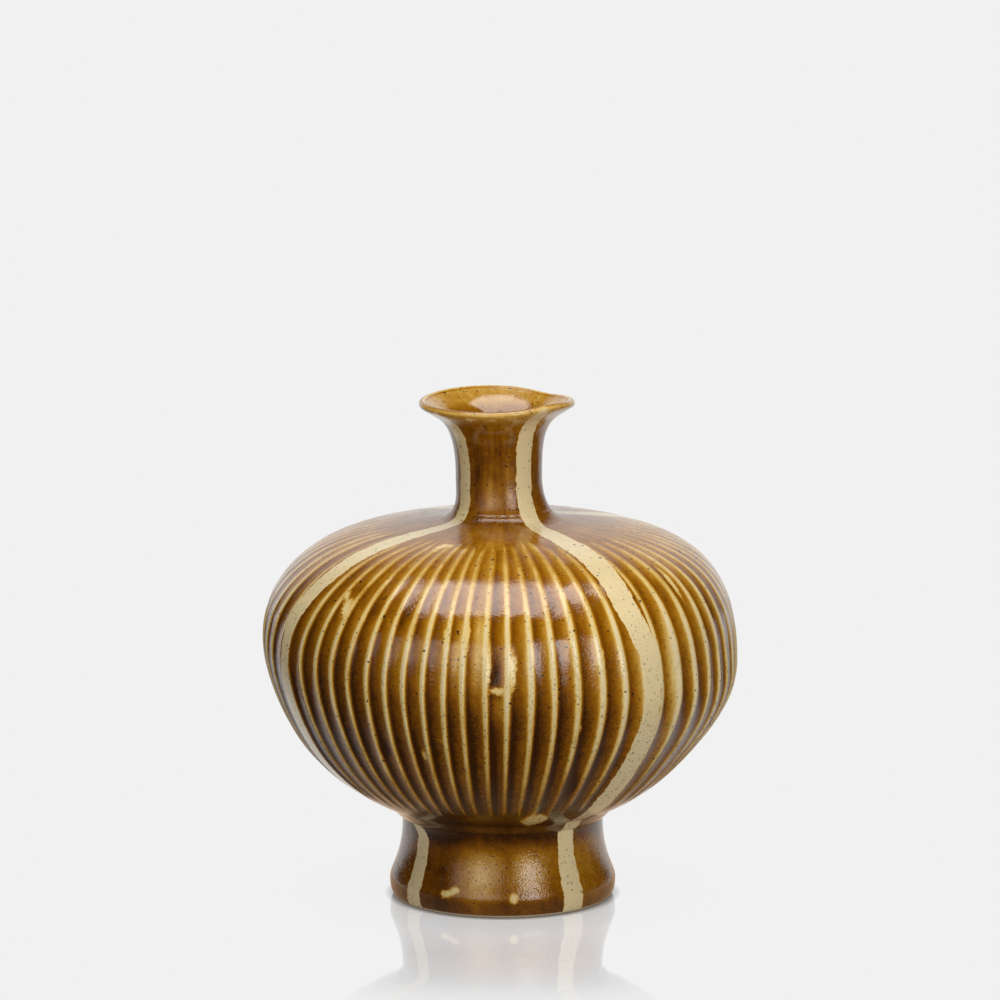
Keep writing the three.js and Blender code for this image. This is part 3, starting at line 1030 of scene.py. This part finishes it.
rough = w.fade(w.sum(*parts_of(broad=0.5, middling=0.25), given["Peel"]), 0.0, ROUGH_FULL)
peel = w.times(rough, w.noise(point, PEEL, 1.0))
pits = w.times(specks(*PINHOLES), rough)
relief = w.sum(
    w.times(w.noise(point, SWELL, 1.0), SWELL_HEIGHT),
    w.times(noises["fine"], FINE_HEIGHT),
    w.times(peel, PEEL_HEIGHT),
    w.times(pits, -PIT_DEPTH),
    w.times(in_band, -COAT_STEP),
)
w.feed(result["Relief"], relief)
unpolished = w.maths("MULTIPLY_ADD", given["Crest"], -RIB_POLISH, 1.0)
dullness = w.times(given["Dull"], unpolished, MOST_DULLING)
duller = w.sum(w.times(rough, PEEL_DULLING), dullness, w.times(dark, IRON_DULLING), GLOSS)
w.feed(result["Roughness"], duller)
print("glaze group:", len(glaze_group.nodes), "nodes")

# %% [markdown]
# ## Four glazed finishes
#
# Each material slot of the model gets its own material, because the glaze behaves differently on
# each piece. They share the group and differ in how thick the coat lies at each height. The foot's
# glaze ends where its ground ring was wiped, and shows the clay there. A rough raised ring runs
# round the coil under the neck, where the glaze crept together.

# %% Glazed materials
HEIGHT_SPAN = 240.0
EVEN = [(0, 0.2), (HEIGHT_SPAN, 0.2)]
CLAY = (0.47, 0.37, 0.24, 1)
CLAY_ROUGHNESS = 0.85
WIPED_EDGE = 0.25
LEAD_GLAZE_IOR = 1.6
RING_WIDTH = 0.9
RING_HEIGHT = 0.25
RING_LUMPS = 2.4
RING_UNEVEN = 0.7


def glazed(name, levels, rib_levels, peel, pepper, dull, streak, ground=None, ring=None):
    """A glazed material. All but name, ground and ring are stations of (height, value)."""
    material = bpy.data.materials.new(name)
    w = wiring_of(material)
    pot = w.add("ShaderNodeGroup", node_tree=place_group).outputs
    share = w.times(pot["Height"], 1 / HEIGHT_SPAN)
    inputs = {socket: w.attribute(attribute) for socket, attribute in MESH_INPUTS.items()}
    for socket, stations in zip(LINE_INPUTS, (levels, rib_levels, peel, pepper, dull, streak)):
        inputs[socket] = w.ramp(share, [(z / HEIGHT_SPAN, (value,) * 3) for z, value in stations])
    glaze = w.add("ShaderNodeGroup", inputs, node_tree=glaze_group).outputs
    colour, relief, roughness = glaze["Color"], glaze["Relief"], glaze["Roughness"]
    if ground:
        bare_clay = w.fade(pot["Height"], ground + WIPED_EDGE, ground - WIPED_EDGE)
        colour = w.blend_colour(bare_clay, colour, CLAY)
        roughness = w.blend(bare_clay, roughness, CLAY_ROUGHNESS)
    if ring:
        away = w.maths("ABSOLUTE", w.maths("SUBTRACT", pot["Height"], ring))
        worn = w.maths("MULTIPLY_ADD", w.noise(pot["Place"], RING_LUMPS), RING_UNEVEN, RING_UNEVEN)
        relief = w.sum(relief, w.times(w.fade(away, RING_WIDTH, 0.0, 0.0, RING_HEIGHT), worn))
    bump = w.add("ShaderNodeBump", {"Height": relief, "Distance": MM}).outputs["Normal"]
    coat = {"Base Color": colour, "Roughness": roughness, "IOR": LEAD_GLAZE_IOR, "Normal": bump}
    shader = w.add("ShaderNodeBsdfPrincipled", coat)
    w.add("ShaderNodeOutputMaterial", {"Surface": shader.outputs["BSDF"]})
    return material


belly_glaze = glazed(
    "amber_belly_glaze",
    levels=[
        (42, 0.97), (55, 0.95), (70, 0.89), (85, 0.90), (100, 0.865), (118, 0.77),
        (128, 0.72), (140, 0.67), (150, 0.69), (163, 0.61), (171, 0.64),
    ],
    rib_levels=[
        (50, 0.62), (62, 0.42), (85, 0.18), (100, 0.08),
        (118, 0.03), (145, 0.10), (155, 0.22), (166, 0.38),
    ],
    peel=[(60, 0.5), (100, 0.4), (125, 0.35), (142, 0.22), (155, 0.35), (171, 0.4)],
    pepper=[(50, 1.0), (90, 0.8), (115, 0.45), (135, 0.15)],
    dull=[(60, 0.05), (100, 0.15), (125, 0.15), (138, 0.05), (171, 0.1)],
    streak=[(60, 0.04), (118, 0.05), (150, 0.10), (171, 0.15)],
)
neck_glaze = glazed(
    "amber_neck_glaze",
    levels=[(171, 0.74), (190, 0.73), (205, 0.68), (213, 0.68), (217.5, 0.58), (220, 0.42), (226, 0.38)],
    rib_levels=EVEN,
    peel=[(171, 0.5), (190, 0.3), (205, 0.1), (226, 0.1)],
    pepper=[(0, 0.0), (240, 0.0)],
    dull=[(171, 0.3), (180, 0.45), (192, 0.4), (203, 0.15), (215, 0.1)],
    streak=[(171, 0.13), (215, 0.11), (226, 0.04)],
)
foot_glaze = glazed(
    "amber_foot_glaze",
    levels=[(0, 0.88), (4, 0.82), (9, 0.71), (27, 0.71), (32, 0.84), (37, 0.95)],
    rib_levels=EVEN,
    peel=[(0, 0.8), (40, 0.8)],
    pepper=[(0, 0.3), (30, 0.1)],
    dull=[(0, 0.05), (40, 0.05)],
    streak=[(0, 0.04), (40, 0.04)],
    ground=1.1,
)
coil_glaze = glazed(
    "pooled_coil_glaze",
    levels=[(36.5, 0.92), (39, 0.91), (42, 0.97), (171, 0.65), (178, 0.70), (190, 0.72)],
    rib_levels=EVEN,
    peel=[(36, 0.3), (171, 0.5), (176, 0.8), (190, 0.4)],
    pepper=[(42, 0.4), (60, 0.0)],
    dull=[(36, 0.1), (172, 0.1), (178, 0.35), (182, 0.45), (190, 0.4)],
    streak=[(36, 0.05), (171, 0.12), (190, 0.08)],
    ring=175.5,
)
glazes = {belly: belly_glaze, neck: neck_glaze, foot: foot_glaze}
glazes.update({foot_coil: coil_glaze, neck_coil: coil_glaze})
for piece, material in glazes.items():
    piece.data.materials.clear()
    piece.data.materials.append(material)
    print(f"{piece.name} wears {material.name}")

# %% [markdown]
# ## Floor
#
# The vase stands on a pale, faintly polished board. The camera sees it as pale as the background,
# darkened by a contact shadow, with a mirror image that fades away from the foot. A Fresnel term
# weakens that image in a steeper look. The glossy glaze sees a plainer floor: dim in front, where
# the room is dark, pale behind, and warm near the foot, where the amber belly lights it. A clear
# sheet on the board marks the rays that the board has mirrored.

# %% The floor and its clear sheet
PALE = 0.8796
FLOOR_SIZE = 8
FLOOR_DROP = 0.1 * MM
MIRROR_STOPS = [
    (0, 0.42), (12, 0.35), (30, 0.34), (67, 0.41), (95, 0.36),
    (112, 0.28), (124, 0.19), (134, 0.13), (150, 0.06), (170, 0),
]
BOARD_IOR = 1.45
SHARE_IN_VIEW = 0.265
MIRROR_ROUGHNESS = 0.03
CONTACT_REACH = 4 * MM
CONTACT_POWER = 1.4
SHADOW = 0.04
SHADOW_REACH = 60
ASIDE_FROM = 0.15
ASIDE_PULL = 1.2
DIM_TO_PALE = (-0.12, 0.08)
DIM_FLOOR = 0.02
FLOOR_BOUNCE = 0.35
WHITE = (1, 1, 1, 1)
WARM = (1.0, 0.68, 0.42, 1)
WARM_FADE = (10, 130)


def board(name, height):
    bpy.ops.mesh.primitive_plane_add(size=FLOOR_SIZE, location=(0, 0, 0))
    flat_piece = bpy.context.object
    flat_piece.name = name
    bpy.ops.object.mode_set(mode="EDIT")
    bpy.ops.transform.translate(value=(0, 0, height))
    bpy.ops.object.mode_set(mode="OBJECT")
    flat_piece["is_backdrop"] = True
    return flat_piece


floor = board("pale_floor", -FLOOR_DROP)
floor_material = bpy.data.materials.new("pale_board")
w = wiring_of(floor_material)
floor_place = w.add("ShaderNodeTexCoord").outputs["Object"]
parts = w.add("ShaderNodeSeparateXYZ", {0: floor_place}).outputs
flat = w.add("ShaderNodeCombineXYZ", {0: parts[0], 1: parts[1]}).outputs[0]
from_axis = w.add("ShaderNodeVectorMath", {0: flat}, operation="LENGTH").outputs["Value"]
from_foot = w.maths("SUBTRACT", w.times(from_axis, 1 / MM), GROUND)
rays = w.add("ShaderNodeLightPath").outputs
contact = w.add("ShaderNodeAmbientOcclusion", {"Distance": CONTACT_REACH}, samples=8)
seen = w.times(w.maths("POWER", contact.outputs["AO"], CONTACT_POWER), PALE)
aside = w.maths("SUBTRACT", w.maths("ABSOLUTE", parts[0]), ASIDE_FROM)
behind = w.maths("MULTIPLY_ADD", w.maths("MAXIMUM", aside, 0.0), -ASIDE_PULL, parts[1])
mirrored = w.fade(behind, *DIM_TO_PALE, DIM_FLOOR, PALE)
lit = w.blend(rays["Is Glossy Ray"], FLOOR_BOUNCE, mirrored)
strength = w.blend(rays["Is Camera Ray"], lit, seen)
warm_share = w.times(w.fade(from_foot, *WARM_FADE, 1.0, 0.0), rays["Is Glossy Ray"])
tint = w.blend_colour(warm_share, WHITE, WARM)
glow = w.add("ShaderNodeEmission", {"Color": tint, "Strength": strength}).outputs[0]
reach = MIRROR_STOPS[-1][0]
stops = [(far / reach, (share,) * 3) for far, share in MIRROR_STOPS]
shares = w.ramp(w.times(from_foot, 1 / reach), stops)
grazing = w.times(w.add("ShaderNodeFresnel", {"IOR": BOARD_IOR}).outputs[0], 1 / SHARE_IN_VIEW)
mirror_share = w.times(shares, grazing, rays["Is Camera Ray"])
mirror = w.add("ShaderNodeBsdfGlossy", {"Color": WHITE, "Roughness": MIRROR_ROUGHNESS}).outputs[0]
matt = w.add("ShaderNodeBsdfDiffuse", {"Color": (PALE, PALE, PALE, 1)}).outputs[0]
shadow_share = w.times(w.fade(from_foot, 0, SHADOW_REACH, SHADOW, 0.0), rays["Is Camera Ray"])
surface = w.add("ShaderNodeMixShader", {0: shadow_share, 1: glow, 2: matt}).outputs[0]
surface = w.add("ShaderNodeMixShader", {0: mirror_share, 1: surface, 2: mirror}).outputs[0]
w.add("ShaderNodeOutputMaterial", {"Surface": surface})
floor_material.cycles.emission_sampling = "NONE"
floor.data.materials.append(floor_material)

sheet = board("clear_sheet", -FLOOR_DROP / 2)
sheet_material = bpy.data.materials.new("clear_film")
w = wiring_of(sheet_material)
w.add("ShaderNodeOutputMaterial", {"Surface": w.add("ShaderNodeBsdfTransparent").outputs[0]})
sheet.data.materials.append(sheet_material)
sheet.visible_shadow = False
print("floor and sheet laid")

# %% [markdown]
# ## Background
#
# The world is pale for the camera. Glossy rays find it pale behind the vase and dim in front, as in
# a studio where the camera stands in the dark. A mirrored ray from the floor has passed the clear
# sheet, and finds it pale everywhere. All other rays find a weak even light.

# %% The world
DIM = 0.008
AMBIENT = 0.13
RISE_SHARE = 0.2
ASIDE_SHARE = 0.08
PALE_BEHIND = (0.8, 0.95)
world = bpy.data.worlds.new("pale_studio")
bpy.context.scene.world = world
w = wiring_of(world)
rays = w.add("ShaderNodeLightPath").outputs
direction = w.add("ShaderNodeTexCoord").outputs["Generated"]
parts = w.add("ShaderNodeSeparateXYZ", {0: direction}).outputs
aside = w.times(w.maths("ABSOLUTE", parts[0]), ASIDE_SHARE)
behind = w.sum(parts[1], w.times(parts[2], RISE_SHARE), aside)
studio = w.fade(behind, *PALE_BEHIND, DIM, PALE)
through_sheet = w.maths("GREATER_THAN", rays["Transparent Depth"], 0.5)
studio = w.blend(through_sheet, studio, PALE)
lit = w.blend(rays["Is Glossy Ray"], AMBIENT, studio)
pale_rays = w.maths("MAXIMUM", rays["Is Camera Ray"], rays["Is Transmission Ray"])
level = w.blend(pale_rays, lit, PALE)
backdrop = w.add("ShaderNodeBackground", {"Color": WHITE, "Strength": level}).outputs[0]
w.add("ShaderNodeOutputWorld", {"Surface": backdrop})
print(f"world: {DIM} in front, {PALE} behind and for the camera, {AMBIENT} around")

# %% [markdown]
# ## Lamps
#
# A large softbox hangs overhead. Two upright ones stand in front, a bright one to the right and a
# weak one to the left. Their shapes show as the soft windows in the glaze. Beside each hangs a fill
# that shows in no reflection, for more light than the windows give. The upright softboxes light the
# vase alone, or the polished board would mirror them in a look from behind. The camera doesn't see
# the lamps themselves.

# %% Softboxes
AIM = Vector((0, 0, 0.11))
OVERHEAD = Vector((-0.02, -0.145, 1.04))
glazed_pieces = bpy.data.collections.new("glazed_pieces")
for piece in glazes:
    glazed_pieces.objects.link(piece)


def softbox(name, location, width, height, radiance, glossy=True, on_floor=True):
    """A lamp that faces the vase. One that isn't glossy shows in no reflection."""
    light = bpy.data.lights.new(name, "AREA")
    light.shape = "RECTANGLE"
    light.size = width
    light.size_y = height
    light.energy = radiance * math.pi * width * height
    lamp = bpy.data.objects.new(name, light)
    bpy.context.scene.collection.objects.link(lamp)
    lamp.location = location
    lamp.rotation_euler = (AIM - lamp.location).to_track_quat("-Z", "Y").to_euler()
    lamp.visible_camera = False
    lamp.visible_glossy = glossy
    if not on_floor:
        lamp.light_linking.receiver_collection = glazed_pieces
    print(f"{name}: {light.energy:.1f} W")


def around(azimuth, elevation, distance):
    """A place at an azimuth and elevation from the aim."""
    turn, rise = math.radians(azimuth), math.radians(elevation)
    flat = distance * math.cos(rise)
    return AIM + Vector((flat * math.sin(turn), -flat * math.cos(turn), distance * math.sin(rise)))


softbox("overhead_softbox", OVERHEAD, 0.94, 0.73, 3.9)
softbox("overhead_fill", OVERHEAD, 0.90, 0.63, 1.5, glossy=False)
softbox("right_softbox", around(30, 12, 1.0), 0.30, 0.46, 3.6, on_floor=False)
softbox("right_fill", around(30, 14, 1.0), 0.50, 0.40, 5.4, glossy=False)
softbox("left_softbox", around(-22, 12, 1.0), 0.3, 0.42, 0.8, on_floor=False)
softbox("left_fill", around(-28, 14, 1.0), 1.0, 0.42, 1.7, glossy=False)

# %% [markdown]
# ## Camera
#
# The photograph was taken from far away with a long lens, a little from above, which keeps the
# vase's sides almost parallel.

# %% The camera
SENSOR = 36
FRAME = 1000
FOCAL_PIXELS = 6744.85
CAMERA_DISTANCE = 3.0
CAMERA_RISE = math.radians(10.675)
VIEW_CENTRE = 179.146 * MM
view = bpy.data.cameras.new("far_camera")
view.sensor_width = SENSOR
view.lens = FOCAL_PIXELS * SENSOR / FRAME
camera = bpy.data.objects.new("far_camera", view)
bpy.context.scene.collection.objects.link(camera)
camera.location = (
    0,
    -CAMERA_DISTANCE * math.cos(CAMERA_RISE),
    VIEW_CENTRE + CAMERA_DISTANCE * math.sin(CAMERA_RISE),
)
camera.rotation_euler = (math.pi / 2 - CAMERA_RISE, 0, 0)
bpy.context.scene.camera = camera
bpy.context.scene.view_settings.view_transform = "Standard"
print(f"lens {view.lens:.1f} mm")

# %% [markdown]
# ## Both boxes
#
# The imported model's box and the finished skin's box are printed, in millimetres.

# %% Print both boxes
VISUAL_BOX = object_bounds()
boxes = {
    "cad": [list(corner) for corner in CAD_BOX],
    "visual": [list(corner) for corner in VISUAL_BOX],
}
for name, (low, high) in boxes.items():
    print(name, [round((b - a) / MM, 2) for a, b in zip(low, high)], "mm")
